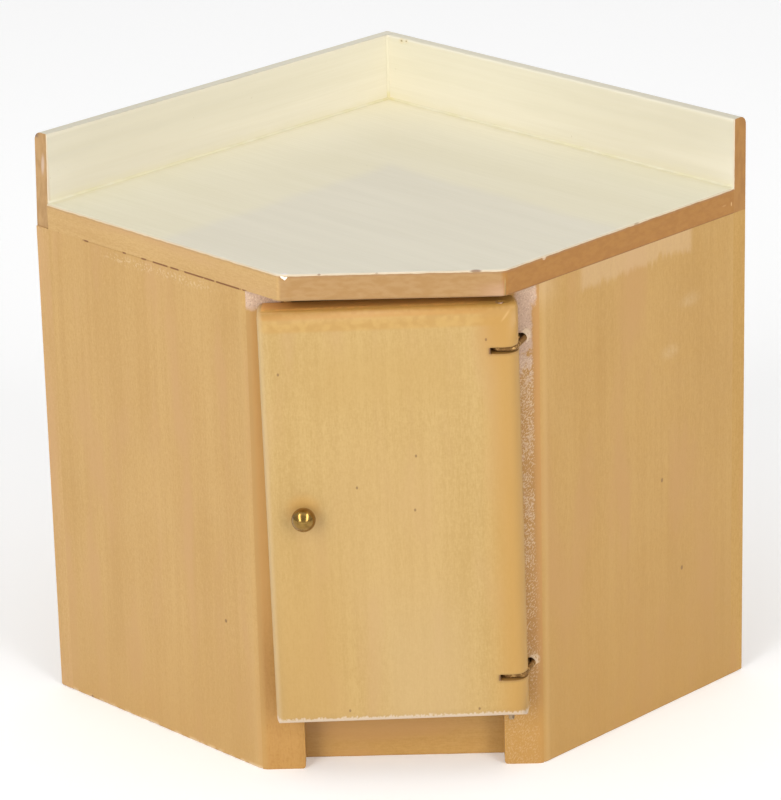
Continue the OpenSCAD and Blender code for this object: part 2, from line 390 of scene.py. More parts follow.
def bare_board(name, turn, wood_tones, start=(0, 0, 0)):
    """Bare sanded wood of the boards that hardly show."""
    finish = Finish(name)
    tone, height = wood(finish, turn, wood_tones, start)
    finish.set(base_color=tone, roughness=0.7)
    finish.relief(height, 0.02)
    return finish.material


def left_side_wood():
    """The left side board, with its scuffed head and the seam's open dashes."""
    finish = Finish("left_side_wood")
    _, v, z = finish.wall_axes()
    front_strip = finish.between(v, side_depth - 1.4, side_depth - 0.5, 0.5)
    on_post = finish.step(v, side_depth - 0.3, side_depth + 0.7)
    tone, height = wood(finish, UPRIGHT, LEFT_WOOD)
    tone = finish.over(tone, LEFT_WOOD.dark, finish.step(z, 24, 2), 0.4)
    tone = finish.over(tone, LEFT_WOOD.light, front_strip, 0.35)
    tone = finish.over(tone, POST_WOOD.light, on_post)
    worn = finish.times(finish.step(z, 0.7, 0.15), finish.step(finish.speckle(1.6), 0.42, 0.58))
    tone = finish.over(tone, PALE_FLECK, worn, 0.55)
    knots = [from_walls(wall_len, 37.06, 21.3), from_walls(wall_len, 6.9, 0.2)]
    tone = pencil_dots(finish, tone, knots)
    seam = finish.times(finish.step(z, under_z - 0.20, under_z - 0.08), seam_dashes(finish, v))
    tone = finish.over(tone, SEAM_BROWN, seam, 0.85)
    below_seam = finish.between(z, under_z - 1.7, under_z - 0.7, 0.6)
    scuffed = finish.times(below_seam, finish.between(v, 15, 36, 4))
    scratches = finish.step(finish.speckle(0.4), 0.50, 0.62)
    tone = finish.over(tone, PALE_FLECK, scuffed, scratches, 0.35)
    return lacquer(finish, tone, height)


def right_side_wood():
    """The right side board, with lacquer that ran down under the worktop."""
    finish = Finish("right_side_wood")
    u, _, z = finish.wall_axes()
    front_strip = finish.between(u, side_depth - 1.2, side_depth - 0.4, 0.4)
    on_post = finish.step(u, side_depth - 0.2, side_depth + 0.7)
    tone, height = wood(finish, UPRIGHT, RIGHT_WOOD, (5, 21, 3), 0.8)
    tone = finish.over(tone, colour(168, 126, 57), finish.step(z, 40, 4), 0.5)
    tone = finish.over(tone, LEFT_WOOD.light, front_strip, 0.5)
    tone = finish.over(tone, POST_WOOD.dark, on_post)
    drips = finish.noise(finish.turned((0, 0, 0), (1.5, 1.5, 6)), 4, 0.65)
    border = finish.plus(z, finish.times(finish.minus(drips, 0.5), 5))
    run = finish.times(finish.step(border, under_z - 3.8, under_z - 2.2), finish.between(u, 11.8, 35, 0.7))
    front_haze = finish.step(u, side_depth - 5.5, side_depth - 0.5)
    front_haze = finish.times(front_haze, finish.step(z, under_z - 5.4, under_z - 0.4), 0.8)
    haze = finish.most(run, front_haze)
    tone = finish.over(tone, colour(206, 176, 140), haze, 0.3)
    for along, height_z, half_wide in ((12.1, 61.8, 1.8), (16.4, 55.1, 1.6)):
        centre = from_walls(along, wall_len, height_z)
        smear = finish.spot(centre, (half_wide, half_wide, 0.9), 0.7)
        tone = finish.over(tone, PALE_FLECK, smear, finish.speckle(0.5), 0.24)
    knots = [from_walls(13.7, wall_len, 20.9), from_walls(18.1, wall_len, 35.9)]
    tone = pencil_dots(finish, tone, knots, 0.24, 0.6)
    return lacquer(finish, tone, height)


def left_post_wood():
    """The left post, with milky lacquer, painted light on its upper part and the painted shade of a small
    notch at its head.
    """
    finish = Finish("left_post_wood")
    x, _, z = finish.axes()
    tone, height = wood(finish, UPRIGHT, POST_WOOD, (7, 3, 40))
    # Painted light: lighter above, to lift the shade the door casts on the post.
    tone = finish.over(tone, colour(187, 142, 76), finish.step(z, 14, 30), 0.8)
    outer_edge = finish.step(x, 1.15 - front_corner_x, 0.25 - front_corner_x)
    tone = finish.over(tone, LEFT_WOOD.dark, outer_edge, 0.75)
    top_haze = finish.step(z, under_z - 4.0, under_z - 1.8)
    top_haze = finish.times(top_haze, finish.step(x, left_post_in, left_post_in - 2.1))
    haze = finish.most(top_haze, finish.times(finish.step(z, under_z - 6.4, under_z - 1.4), 0.3))
    tone = bloom(finish, tone, haze, finish.times(haze, 0.6))
    # Painted shade of a small notch at the post's head.
    notch_shade = finish.between(x, left_post_in - 1.3, left_post_in - 0.9, 0.08)
    notch_shade = finish.times(notch_shade, finish.step(z, under_z - 2.3, under_z - 2.0))
    tone = finish.over(tone, PORE_AND_SHADE_BROWN, notch_shade, 0.85)
    return lacquer(finish, tone, height)


def right_post_wood():
    """The right post, with milky, flecked lacquer along the hinge side, and painted light on its upper
    part.
    """
    finish = Finish("right_post_wood")
    x, _, z = finish.axes()
    tone, height = wood(finish, UPRIGHT, POST_WOOD, (17, 9, 12))
    # Painted light: lighter above, to lift the shade the door casts on the post.
    tone = finish.over(tone, colour(184, 138, 76), finish.step(z, 14, 30), 0.5)
    outer_edge = finish.step(x, front_corner_x - 1.25, front_corner_x - 0.75)
    tone = finish.over(tone, colour(176, 128, 66), outer_edge, 0.6)
    kept = finish.plus(finish.speckle(0.9), finish.times(finish.step(z, 56, 68), 0.4))
    worn_through = finish.step(kept, 0.36, 0.66)
    middle = finish.between(x, right_post_in + 2.1, front_corner_x - 0.95, 0.5)
    upper = finish.times(finish.step(z, 52, 63), middle, worn_through)
    across_top = finish.between(x, right_post_in + 2.5, front_corner_x - 0.35, 0.6)
    top_haze = finish.times(finish.step(z, under_z - 4.9, under_z - 1.9), across_top)
    haze = finish.most(finish.times(upper, 0.9), top_haze)
    patchy = finish.step(finish.speckle(1.8), 0.22, 0.56)
    hinge = finish.step(x, front_corner_x - 0.55, front_corner_x - 1.25)
    hinge = finish.times(finish.between(z, 29, 63, 4), hinge)
    foot = finish.step(x, front_corner_x + 0.25, front_corner_x - 1.35)
    foot = finish.times(finish.step(z, 36, 28), foot, 0.75)
    flecked = finish.times(finish.most(hinge, foot), finish.blend(patchy, 0.5, 1.0))
    haze = finish.most(haze, finish.times(hinge, patchy, 0.46))
    tone = bloom(finish, tone, haze, finish.most(flecked, finish.times(haze, 0.6)))
    tone = finish.over(tone, colour(168, 124, 54), finish.step(z, 20, 6), 0.7)
    for hole_z in (low_loop_z, high_loop_z):
        torn = finish.spot(in_door(3.5, door_back, hole_z + 0.4), (0.75, 3, 1.0), 0.3)
        torn = finish.times(torn, finish.step(finish.speckle(0.4), 0.42, 0.5), 0.8)
        tone = finish.over(tone, PALE_FLECK, torn)
    return lacquer(finish, tone, height, 0.02)


def door_field(finish, tone, x, z):
    """The yellower, paler and browner areas of the door's face."""
    yellow = finish.times(finish.between(z, 48, 57, 4), finish.between(x, -26, -6, 4))
    tone = finish.over(tone, colour(172, 138, 76), yellow, 0.45)
    middle = finish.times(finish.between(z, 16, 42, 6), finish.between(x, -24, -8, 4))
    tone = finish.over(tone, colour(179, 146, 92), middle, 0.35)
    left_side = finish.times(finish.step(x, -19, -27), finish.step(z, 44, 8))
    tone = finish.over(tone, colour(170, 133, 71), left_side, 0.6)
    low_middle = finish.times(finish.step(z, 26, 10), finish.between(x, -18, -6, 3))
    return finish.over(tone, colour(180, 150, 100), low_middle, 0.6)


def door_borders(finish, tone, x, z):
    """The door's rounded shoulder and top edge in painted shade, painted light on its flat top, a darker
    band along the hinge side, and its worn borders.
    """
    figured = finish.step(finish.speckle(1.1, 3), 0.38, 0.62)
    # Painted shade on the rounded shoulder of the door's top.
    shoulder_shade_tone = finish.mix(figured, colour(172, 133, 68), colour(180, 143, 77))
    tone = finish.over(tone, shoulder_shade_tone, finish.step(z, door_h - 3.1, door_h - 2.5), 0.9)
    # Painted shade: a warmer, darker tone on the top edge, where the worktop's shadow falls.
    top_edge_shade = finish.step(z, door_h - 1.3, door_h - 0.8)
    tone = finish.over(tone, colour(178, 130, 60), top_edge_shade, 0.85)
    # Painted light on the flat top, which lies in the worktop's shadow.
    cap_light = finish.facing((0, 0, 1), 0.93, 0.995)
    tone = finish.over(tone, colour(228, 168, 90), cap_light, 0.9)
    top_right = finish.times(finish.step(z, door_h - 12, door_h - 3), finish.step(x, -5, 0.5))
    tone = finish.over(tone, colour(170, 124, 50), top_right, 0.75)
    tone = finish.over(tone, colour(172, 130, 60), finish.step(x, -4.0, 1.0), 0.85)
    free_edge = finish.step(x, door_left + 1.0, door_left + 0.3)
    tone = finish.over(tone, colour(196, 168, 122), free_edge, 0.5)
    fray = finish.noise(finish.turned(door_turn, (0.35, 0.35, 5), pin_foot), 3)
    strip = finish.step(finish.plus(z, finish.times(fray, 1.6)), 2.1, 1.7)
    return finish.over(tone, colour(202, 184, 164), strip, 0.75)


def door_marks(finish, tone):
    """A painted highlight at the top right corner, the ring under the knob, partly painted shade and partly
    dirt, and small knots.
    """
    # Painted highlight on the mitre at the top right corner of the door's rounded edges.
    corner_highlight = finish.spot(in_door(0.75, door_front, 60.3), (0.14, 2, 0.85), 0.6, (0, 0.65, 0))
    tone = finish.over(tone, colour(214, 178, 122), corner_highlight, 0.28)
    # A warm ring round the knob: partly painted contact shade, partly dirt.
    under_knob = in_door(knob_place.x, door_front, knob_place.z + 0.5)
    ring = finish.spot(under_knob, (2.3, 2, 2.2), 0.4)
    tone = finish.over(tone, colour(196, 146, 70), ring, 0.4)
    dots = (
        (-22.7, 2.3), (-4.5, 1.9), (-12.1, 40.4), (-12.5, 32.4), (-20.4, 36.0), (-30.5, 53.0), (-2.0, 57.0),
    )
    return pencil_dots(finish, tone, [in_door(across, door_front, up) for across, up in dots], 0.16, 0.6)


def saw_cut_shade(finish, tone, x, z):
    """Painted shade on the walls inside the two saw cuts, and a darker band round them."""
    for cut_z in (low_loop_z, high_loop_z):
        low, high = cut_z - cut_half, cut_z + cut_half
        # Painted shade on the walls inside each cut, and a darker band round it.
        sawn = finish.between(z, low + 0.02, high - 0.02, 0.03)
        tone = finish.over(tone, colour(108, 76, 40), sawn, finish.step(x, -1.8, -1.5), 0.9)
        dark_band = finish.between(z, low - 0.25, high + 0.1, 0.2)
        tone = finish.over(tone, PORE_AND_SHADE_BROWN, dark_band, finish.step(x, -2.2, -1.4), 0.30)
    return tone


def door_wood():
    """The door: its field, its borders, its marks, its rubbed top ridge and its saw cuts."""
    finish = Finish("door_wood")
    x, y, z = finish.door_axes()
    tone, height = wood(finish, door_turn, DOOR_WOOD, (12, 4, 9))
    tone = door_field(finish, tone, x, z)
    tone = door_borders(finish, tone, x, z)
    tone = door_marks(finish, tone)
    ridge = finish.times(finish.step(z, door_h - 1.1, door_h - 0.5), finish.step(y, 1.0, 0.0))
    rubbed = finish.step(finish.speckle(0.8), 0.4, 0.6)
    tone = finish.over(tone, colour(184, 142, 72), ridge, rubbed, 0.5)
    tone = saw_cut_shade(finish, tone, x, z)
    return lacquer(finish, tone, height)


def toe_wood():
    """The toe board, with painted shade at its left end."""
    finish = Finish("toe_wood")
    x = finish.axes()[0]
    tone, height = wood(finish, ACROSS_FRONT, TOE_WOOD, (4, 8, 2))
    # Painted shade at the left end.
    tone = finish.over(tone, PORE_AND_SHADE_BROWN, finish.step(x, -8, left_post_in), 0.2)
    return lacquer(finish, tone, height)


# ---- paint ----------------------------------------------------------------------------------

CREAM = colour(230, 223, 199)
WARM_CREAM = colour(224, 216, 189)
GREY_CREAM = colour(218, 211, 192)
SEAM_YELLOW = colour(215, 207, 172)
PINK_CREAM = colour(208, 190, 162)


def brushed(finish, turn, base):
    """Brush-laid paint over a colour. Returns its colour and its relief."""
    hairs = finish.noise(finish.turned(turn, (0.3, 0.3, 14)), 3)
    lay = finish.noise(finish.turned(turn, (2.5, 2.5, 30)), 2)
    worked = finish.mix(finish.times(finish.step(hairs, 0.3, 0.7), 0.17), base, colour(205, 196, 166))
    worked = finish.over(worked, colour(240, 233, 214), finish.step(lay, 0.3, 0.7), 0.15)
    specks = finish.step(finish.speckle(0.55, 0.0, (3, 1, 4)), 0.87, 0.92)
    worked = finish.over(worked, colour(170, 156, 116), specks, 0.3)
    return worked, finish.plus(finish.times(hairs, 0.5), lay)


def painted(finish, tone, height, depth=0.015, roughness=0.5):
    """Dull paint with a relief, shared by everything that was painted with the brush."""
    finish.set(base_color=tone, roughness=roughness, coat_weight=0.08, coat_roughness=0.4)
    finish.relief(height, depth)
    return finish.material


def paint_shares(finish, z):
    """Where the worktop is painted, the thick lip of that paint, and the shade under its border."""
    rag = finish.speckle(1.4, 3)
    border = finish.plus(z, finish.times(finish.minus(rag, 0.5), 0.22))
    covered = finish.step(border, top_z - 0.28, top_z - 0.20)
    lip = finish.times(covered, finish.step(z, top_z - 0.01, top_z - 0.06))
    return covered, lip, finish.between(border, top_z - 0.50, top_z - 0.30, 0.08)


def bare_worktop_edge(finish, u, v, z):
    """The worktop's bare edges: long grain at the left, sawn ends at the right. Returns their
    colour and their relief."""
    x = finish.axes()[0]
    bare, bare_relief = wood(finish, ALONG_RIGHT_WALL, EDGE_WOOD, (2, 2, 2))
    mottle = finish.noise(finish.turned(ALONG_RIGHT_WALL, (1.3, 0.7, 6), (4, 4, 4)), 3)
    front_tone = finish.mix(finish.step(mottle, 0.35, 0.65), colour(162, 125, 76), colour(155, 116, 64))
    right_tone = finish.mix(finish.step(mottle, 0.35, 0.65), colour(159, 108, 37), colour(152, 100, 30))
    bare = finish.over(bare, front_tone, finish.facing(OUT_FRONT, 0.86, 0.98))
    bare = finish.over(bare, right_tone, finish.facing(OUT_RIGHT, 0.76, 0.95))
    pinkish = finish.times(finish.step(x, 10, 15), finish.step(z, under_z + 2.8, under_z + 0.6))
    bare = finish.over(bare, colour(186, 146, 118), pinkish, finish.facing(OUT_FRONT, 0.86, 0.98), 0.5)
    # Painted shade along the foot of the front edge, at its left end.
    under_shade = finish.times(finish.step(z, under_z + 0.25, under_z + 0.05), finish.step(x, -17, -13))
    bare = finish.over(bare, PORE_AND_SHADE_BROWN, under_shade, 0.4)
    seam = finish.times(finish.step(z, under_z + 0.18, under_z + 0.06), seam_dashes(finish, v))
    on_left = finish.times(finish.step(v, side_depth + 0.7, side_depth + 0.1), finish.step(u, 60, 70))
    bare = finish.over(bare, SEAM_BROWN, seam, on_left, 0.85)
    for along, height_z, radii, tint in (
        (42.5, top_z - 0.3, (0.35, 0.35, 0.3), PALE_FLECK),
        (3.1, top_z - 2.3, (0.10, 0.10, 0.30), colour(206, 170, 120)),
        (4.7, top_z - 2.2, (0.4, 0.4, 0.12), colour(172, 126, 66)),
    ):
        fleck = finish.spot(from_walls(along, wall_len, height_z), radii)
        bare = finish.over(bare, tint, fleck, 0.8)
    return bare, bare_relief


def worktop_cream(finish, u, v):
    """The top's paint: paler beside the walls, greyer in the middle where a pool of shade is
    painted, yellow in the seams. Returns its colour and its relief."""
    from_wall = finish.least(u, v)
    beside_wall = finish.mix(finish.step(finish.most(u, v), 22, 58), CREAM, colour(224, 218, 193))
    cream = finish.mix(finish.step(from_wall, 7, 20), beside_wall, WARM_CREAM)
    # Painted shade: a greyer pool over the middle of the top.
    shade_pool_edge = finish.plus(from_wall, finish.times(finish.speckle(8), 2.4))
    cream = finish.over(cream, GREY_CREAM, finish.step(shade_pool_edge, 26.2, 30.2))
    cream, brush_relief = brushed(finish, ALONG_RIGHT_WALL, cream)
    ragged_seam = finish.plus(from_wall, finish.times(finish.speckle(3), 1.6))
    cream = finish.over(cream, SEAM_YELLOW, finish.step(ragged_seam, 4.7, 3.6), 0.55)
    return cream, brush_relief


def worktop_nicks(finish):
    """1 in the small chips along the worktop's front and right edge."""
    nicks = finish.times(finish.spot(from_walls(23.5, wall_len, top_z - 0.16), (0.7, 0.4, 0.12)), 0.6)
    for across, radii, share in (
        (11.4, (0.75, 0.5, 0.16), 1.0), (-9.8, (0.22, 0.4, 0.12), 0.8), (-2.0, (0.2, 0.4, 0.1), 0.5),
    ):
        nick = finish.spot((across, worktop_front_y, top_z - 0.12), radii)
        nicks = finish.most(nicks, finish.times(nick, share))
    return nicks


def worktop_paint():
    """The worktop: painted above, bare around, with a thick lip of paint between."""
    finish = Finish("painted_worktop")
    u, v, z = finish.wall_axes()
    bare, bare_relief = bare_worktop_edge(finish, u, v, z)
    cream, brush_relief = worktop_cream(finish, u, v)
    covered, lip, shade_line = paint_shares(finish, z)
    cream = finish.over(cream, colour(192, 172, 142), lip, 0.8)
    bare = finish.over(bare, colour(130, 104, 84), shade_line, 0.30)
    tone = finish.mix(covered, bare, cream)
    tone = finish.over(tone, colour(120, 84, 52), worktop_nicks(finish), 0.8)
    return painted(finish, tone, finish.blend(covered, bare_relief, brush_relief))


def bare_upstand(finish, turn, end_tones, end_direction):
    """Bare wood of an upstand and its sawn end. Returns its colour and its relief."""
    bare, bare_relief = wood(finish, turn, EDGE_WOOD, (6, 5, 4))
    mottle = finish.noise(finish.turned((0, 0, 0), (0.9, 0.9, 2.2), (9, 4, 4)), 3)
    sawn = finish.mix(finish.step(mottle, 0.35, 0.65), end_tones[0], end_tones[1])
    return finish.over(bare, sawn, finish.facing(end_direction, 0.5, 0.8)), bare_relief


def left_end_marks(finish, bare, depth, z):
    """A pale smear, and painted shade on the rounded corner and at the foot of the left upstand's end."""
    on_end = from_walls(wall_len - 0.45, 1.6, upstand_z - 4.6)
    smear = finish.spot(on_end, (0.3, 0.3, 1.5), 0.5, (0.08, 0, 0))
    bare = finish.over(bare, colour(198, 174, 156), smear, 0.65)
    # Painted shade on the rounded top corner.
    arc = finish.times(finish.step(depth, 1.0, 0.5), finish.step(z, upstand_z - 1.0, upstand_z - 0.6))
    bare = finish.over(bare, colour(110, 84, 66), arc, 0.75)
    # Painted shade at the foot, where the end meets the boards below.
    return finish.over(bare, PORE_AND_SHADE_BROWN, finish.step(z, under_z + 1.0, under_z), 0.12)


def right_face_stains(finish, cream):
    """Two small stains near the corner, high on the right upstand's face."""
    for along, down, size in ((6.7, 0.3, 0.1), (5.7, 0.4, 0.14)):
        stain = from_walls(upstand_t, along, upstand_z - down)
        halo = finish.spot(stain, (size * 3, size * 3, size * 3), 0.8)
        cream = finish.over(cream, colour(216, 196, 146), halo, 0.5)
        core = finish.spot(stain, (size * 1.5, size * 1.5, size))
        cream = finish.over(cream, colour(128, 110, 64), core, 0.7)
    return cream


def upstand_paint(name, turn, across, end_tones, end_direction):
    """Paint on an upstand's face and top edge. Its end and its back are bare."""
    finish = Finish(name)
    walls = finish.wall_axes()
    depth, length, z = walls[across], walls[1 - across], walls[2]
    is_left = across == 1
    full_len = wall_len - (0.5 if is_left else 0)
    rag = finish.times(finish.minus(finish.speckle(1.2, 3), 0.5), 0.3)
    bare, bare_relief = bare_upstand(finish, turn, end_tones, end_direction)
    if is_left:
        bare = left_end_marks(finish, bare, depth, z)
    border = finish.plus(depth, finish.times(rag, 0.5))
    face = finish.step(border, upstand_t - 0.18, upstand_t - 0.12)
    face = finish.times(face, finish.step(z, top_z - 0.35, top_z - 0.2))
    head = finish.step(finish.plus(z, rag), upstand_z - 0.95, upstand_z - 0.8)
    covered = finish.most(face, finish.times(head, finish.facing(end_direction, 0.85, 0.6)))
    if is_left:
        cream = finish.mix(finish.step(length, -8, 80), colour(222, 216, 195), colour(199, 192, 171))
    else:
        cream = finish.mix(finish.step(length, 16, 70), colour(217, 211, 188), colour(204, 197, 175))
    # Painted light: the foot of the face is paler.
    foot_painted_light = finish.times(finish.step(z, top_z + 6.5, top_z + 1.5), 0.2)
    cream = finish.over(cream, colour(238, 230, 214), foot_painted_light)
    cream, brush_relief = brushed(finish, turn, cream)
    rim = finish.times(finish.step(finish.plus(z, rag), upstand_z - 0.75, upstand_z - 0.25), 0.5)
    cream = finish.over(cream, GREY_CREAM, rim)
    low = finish.step(finish.plus(z, finish.times(finish.speckle(3), 1.6)), top_z + 2.4, top_z + 1.2)
    cream = finish.over(cream, SEAM_YELLOW, low, 0.28)
    end_line = finish.step(length, full_len - 0.30, full_len - 0.10)
    cream = finish.over(cream, PINK_CREAM, end_line, 0.75)
    if not is_left:
        cream = right_face_stains(finish, cream)
    tone = finish.mix(covered, bare, cream)
    return painted(finish, tone, finish.blend(covered, bare_relief, brush_relief))


def bead_paint():
    """Thick, slightly yellow paint where it gathered in the seams."""
    finish = Finish("seam_paint")
    z = finish.wall_axes()[2]
    patches = finish.step(finish.speckle(4), 0.35, 0.7)
    base = finish.mix(patches, colour(210, 202, 166), colour(212, 205, 179))
    base = finish.over(base, colour(212, 205, 181), finish.step(z, top_z + 0.8, top_z + 1.6))
    corner = finish.spot(from_walls(upstand_t + 0.2, upstand_t + 0.2, top_z + 0.3), (1.2, 1.2, 0.8), 0.5)
    base = finish.over(base, colour(208, 196, 140), corner, 0.6)
    tone, _ = brushed(finish, (0, 0, 0), base)
    return painted(finish, tone, finish.speckle(0.6), 0.03, 0.45)


def drop_paint():
    """A drop of nearly white paint with a grey streak on top."""
    finish = Finish("paint_drop")
    z = finish.axes()[2]
    streak = finish.step(z, top_z - 0.15, top_z + 0.02)
    streak = finish.times(streak, finish.step(finish.speckle(0.5), 0.35, 0.55))
    tone = finish.over(colour(240, 230, 216), colour(168, 166, 178), streak, 0.5)
    finish.set(base_color=tone, roughness=0.35)
    finish.relief(finish.speckle(0.3), 0.02)
    return finish.material


def torn_fibre():
    """Pale, slightly lilac fibres pushed up round a pin."""
    finish = Finish("torn_fibre")
    fibres = finish.step(finish.speckle(0.3), 0.4, 0.6)
    tone = finish.mix(fibres, colour(196, 164, 140), colour(150, 110, 72))
    finish.set(base_color=tone, roughness=0.7)
    finish.relief(finish.speckle(0.15), 0.02)
    return finish.material


# ---- metal ----------------------------------------------------------------------------------


def knob_brass():
    """Polished brass with a few duller stains."""
    finish = Finish("knob_brass")
    dull = finish.speckle(0.7, 3)
    tint = finish.mix(finish.step(dull, 0.35, 0.7), colour(150, 117, 56), colour(126, 94, 40))
    stain = finish.step(finish.speckle(0.35, 2.0, (2, 2, 2)), 0.60, 0.75)
    tint = finish.over(tint, colour(104, 80, 40), stain, 0.3)
    gloss = finish.blend(dull, 0.16, 0.26)
    finish.set(base_color=tint, metallic=1.0, roughness=gloss, coat_weight=0.3, coat_roughness=0.12)
    finish.relief(finish.speckle(0.25), 0.004)
    return finish.material


def wire_brass():
    """Tarnished brass wire, rubbed bright in places."""
    finish = Finish("wire_brass")
    rubbed = finish.step(finish.speckle(0.5, 3), 0.50, 0.66)
    tint = finish.mix(rubbed, colour(136, 102, 58), colour(182, 144, 88))
    finish.set(base_color=tint, metallic=0.85, roughness=finish.blend(rubbed, 0.7, 0.5))
    finish.relief(finish.speckle(0.2), 0.01)
    return finish.material


def pin_steel():
    """Dull wire of the hinge pins, with a dark spot at the lower end's middle."""
    finish = Finish("pin_steel")
    rust = finish.step(finish.speckle(0.25, 3), 0.50, 0.68)
    tint = finish.mix(rust, colour(146, 124, 94), colour(104, 82, 56))
    core = finish.spot(in_door(0, 0, -0.6), (0.2, 0.2, 0.3))
    tint = finish.over(tint, colour(60, 50, 44), core)
    finish.set(base_color=tint, metallic=0.15, roughness=0.6)
    finish.relief(finish.speckle(0.15), 0.01)
    return finish.material


# ---- making pieces --------------------------------------------------------------------------

MERGE_REACH = 0.0005
FLAT_ANGLE = math.radians(0.5)
SHARP_ANGLE = math.radians(25)
WAVER_STEP = 1.6
WAVER_SCALE = 2.5
HAND_WAVER = 0.03
FINE_WAVER = 0.02
TEAR_SWAY = 0.10
TEAR_SWELL = 1.6
THINNEST_TEAR = 0.35


def merged_copy(node):
    """A CAD node's mesh with its loose triangles merged into whole faces."""
    mesh = bmesh.new()
    mesh.from_mesh(frame["nodes"][node].data)
    bmesh.ops.remove_doubles(mesh, verts=mesh.verts, dist=MERGE_REACH * MM)
    bmesh.ops.dissolve_limit(mesh, angle_limit=FLAT_ANGLE, verts=mesh.verts, edges=mesh.edges)
    return mesh


def sharp_edges(mesh, test):
    """Edges that turn sharply and whose two ends, in millimetres, pass the test."""
    chosen = []
    for edge in mesh.edges:
        if len(edge.link_faces) == 2 and edge.calc_face_angle() > SHARP_ANGLE:
            if all(test(vert.co / MM) for vert in edge.verts):
                chosen.append(edge)
    return chosen


def ease(mesh, test, width, segments=3, waver=0.0, only=None):
    """Rounds sharp edges, or only a stretch of them, a little unevenly where done by hand."""
    if waver:
        for edge in sharp_edges(mesh, test):
            cuts = int(edge.calc_length() / MM / WAVER_STEP)
            if cuts:
                bmesh.ops.subdivide_edges(mesh, edges=[edge], cuts=cuts)
    made = bmesh.ops.bevel(
        mesh, geom=sharp_edges(mesh, only or test), offset=width * MM, offset_type="OFFSET",
        segments=segments, profile=0.5, affect="EDGES", material=-1, clamp_overlap=True,
    )
    for vert in made["verts"]:
        vert.co += noise.noise_vector(vert.co / MM / WAVER_SCALE) * waver * MM


def piece(mesh, name, body, material, replaces=(), sharp=38):
    """Makes a finished object from a bmesh, riding on a body."""
    data = bpy.data.meshes.new(name)
    mesh.to_mesh(data)
    mesh.free()
    data.shade_smooth()
    data.set_sharp_from_angle(angle=math.radians(sharp))
    data.materials.append(material)
    made = bpy.data.objects.new(name, data)
    bpy.context.scene.collection.objects.link(made)
    made.modifiers.new("even_normals", "WEIGHTED_NORMAL").keep_sharp = True
    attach(made, body)
    if replaces:
        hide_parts(*replaces)


def near(a, b, reach=0.03):
    """Whether two lengths are the same but for a small reach."""
    return abs(a - b) < reach


def tube(sides, cuts, place):
    """A capped tube whose points are put where place(turn, along) says, both from 0 to 1."""
    mesh = bmesh.new()
    bmesh.ops.create_cone(mesh, cap_ends=True, segments=sides, radius1=1, radius2=1, depth=1)
    upright = [edge for edge in mesh.edges if not near(edge.verts[0].co.z, edge.verts[1].co.z)]
    bmesh.ops.subdivide_edges(mesh, edges=upright, cuts=cuts)
    for vert in mesh.verts:
        turn = math.atan2(vert.co.y, vert.co.x) / math.tau % 1
        vert.co = place(turn, vert.co.z + 0.5) * MM
    bmesh.ops.recalc_face_normals(mesh, faces=mesh.faces)
    return mesh


def joined(meshes):
    """One bmesh from several."""
    whole = bmesh.new()
    for mesh in meshes:
        data = bpy.data.meshes.new("part")
        mesh.to_mesh(data)
        mesh.free()
        whole.from_mesh(data)
        bpy.data.meshes.remove(data)
    return whole


def turn_round(mesh, steps):
    """Turns a section right round the Z axis."""
    bmesh.ops.spin(
        mesh, geom=mesh.verts[:] + mesh.edges[:], cent=(0, 0, 0), axis=(0, 0, 1), angle=math.tau,
        steps=steps, use_merge=True,
    )
    bmesh.ops.remove_doubles(mesh, verts=mesh.verts, dist=MERGE_REACH)


def spun(profile, steps, place):
    """A turned shape: points of (radius, height) from pole to pole, put where place() says."""
    mesh = bmesh.new()
    verts = [mesh.verts.new((radius, 0, height)) for radius, height in profile]
    for pair in zip(verts, verts[1:]):
        mesh.edges.new(pair)
    turn_round(mesh, steps)
    for vert in mesh.verts:
        vert.co = place(vert.co) * MM
    bmesh.ops.recalc_face_normals(mesh, faces=mesh.faces)
    return mesh


def ragged_ring(radius, thickness, place):
    """A torn ring of wood fibres around a hole, put where place() says."""
    mesh = bmesh.new()
    bmesh.ops.create_circle(mesh, segments=8, radius=1)
    for vert in mesh.verts:
        vert.co = Vector((radius + vert.co.x * thickness, 0, vert.co.y * thickness))
    turn_round(mesh, 40)
    for vert in mesh.verts:
        flat = Vector((vert.co.x, vert.co.y, 0)).normalized()
        tear = noise.noise(flat * 2.3 + place(Vector())) + 0.5 * noise.noise(flat * 6)
        swell = max(THINNEST_TEAR, 1 + TEAR_SWELL * tear)
        off = vert.co - flat * radius
        vert.co = place(flat * (radius + TEAR_SWAY * tear) + off * swell) * MM
    bmesh.ops.recalc_face_normals(mesh, faces=mesh.faces)
    return mesh


# ---- carcass --------------------------------------------------------------------------------

left_side_finish = left_side_wood()
right_side_finish = right_side_wood()
left_post_finish = left_post_wood()
right_post_finish = right_post_wood()
toe_finish = toe_wood()
left_back_finish = bare_board("left_back_board_wood", UPRIGHT, PALE_WOOD, (30, 9, 5))
right_back_finish = bare_board("right_back_board_wood", UPRIGHT, RIGHT_WOOD, (3, 29, 5))
floor_finish = bare_board("floor_board_wood", ALONG_RIGHT_WALL, PALE_WOOD, (9, 1, 2))


def open_seam(point):
    """Whether the glued seam under the worktop shows here: not at the right or far left."""
    u, v = along_walls(point)
    return v < wall_len - 0.1 and (u < wall_len - 0.1 or v > 9.5)


FOOT_ROUND = 0.25
FOOT_CORNER_ROUND = 0.55
POST_EDGE_ROUND = 0.3
HEAD_BREAK = 0.07
FLOOR_BREAK = 0.08


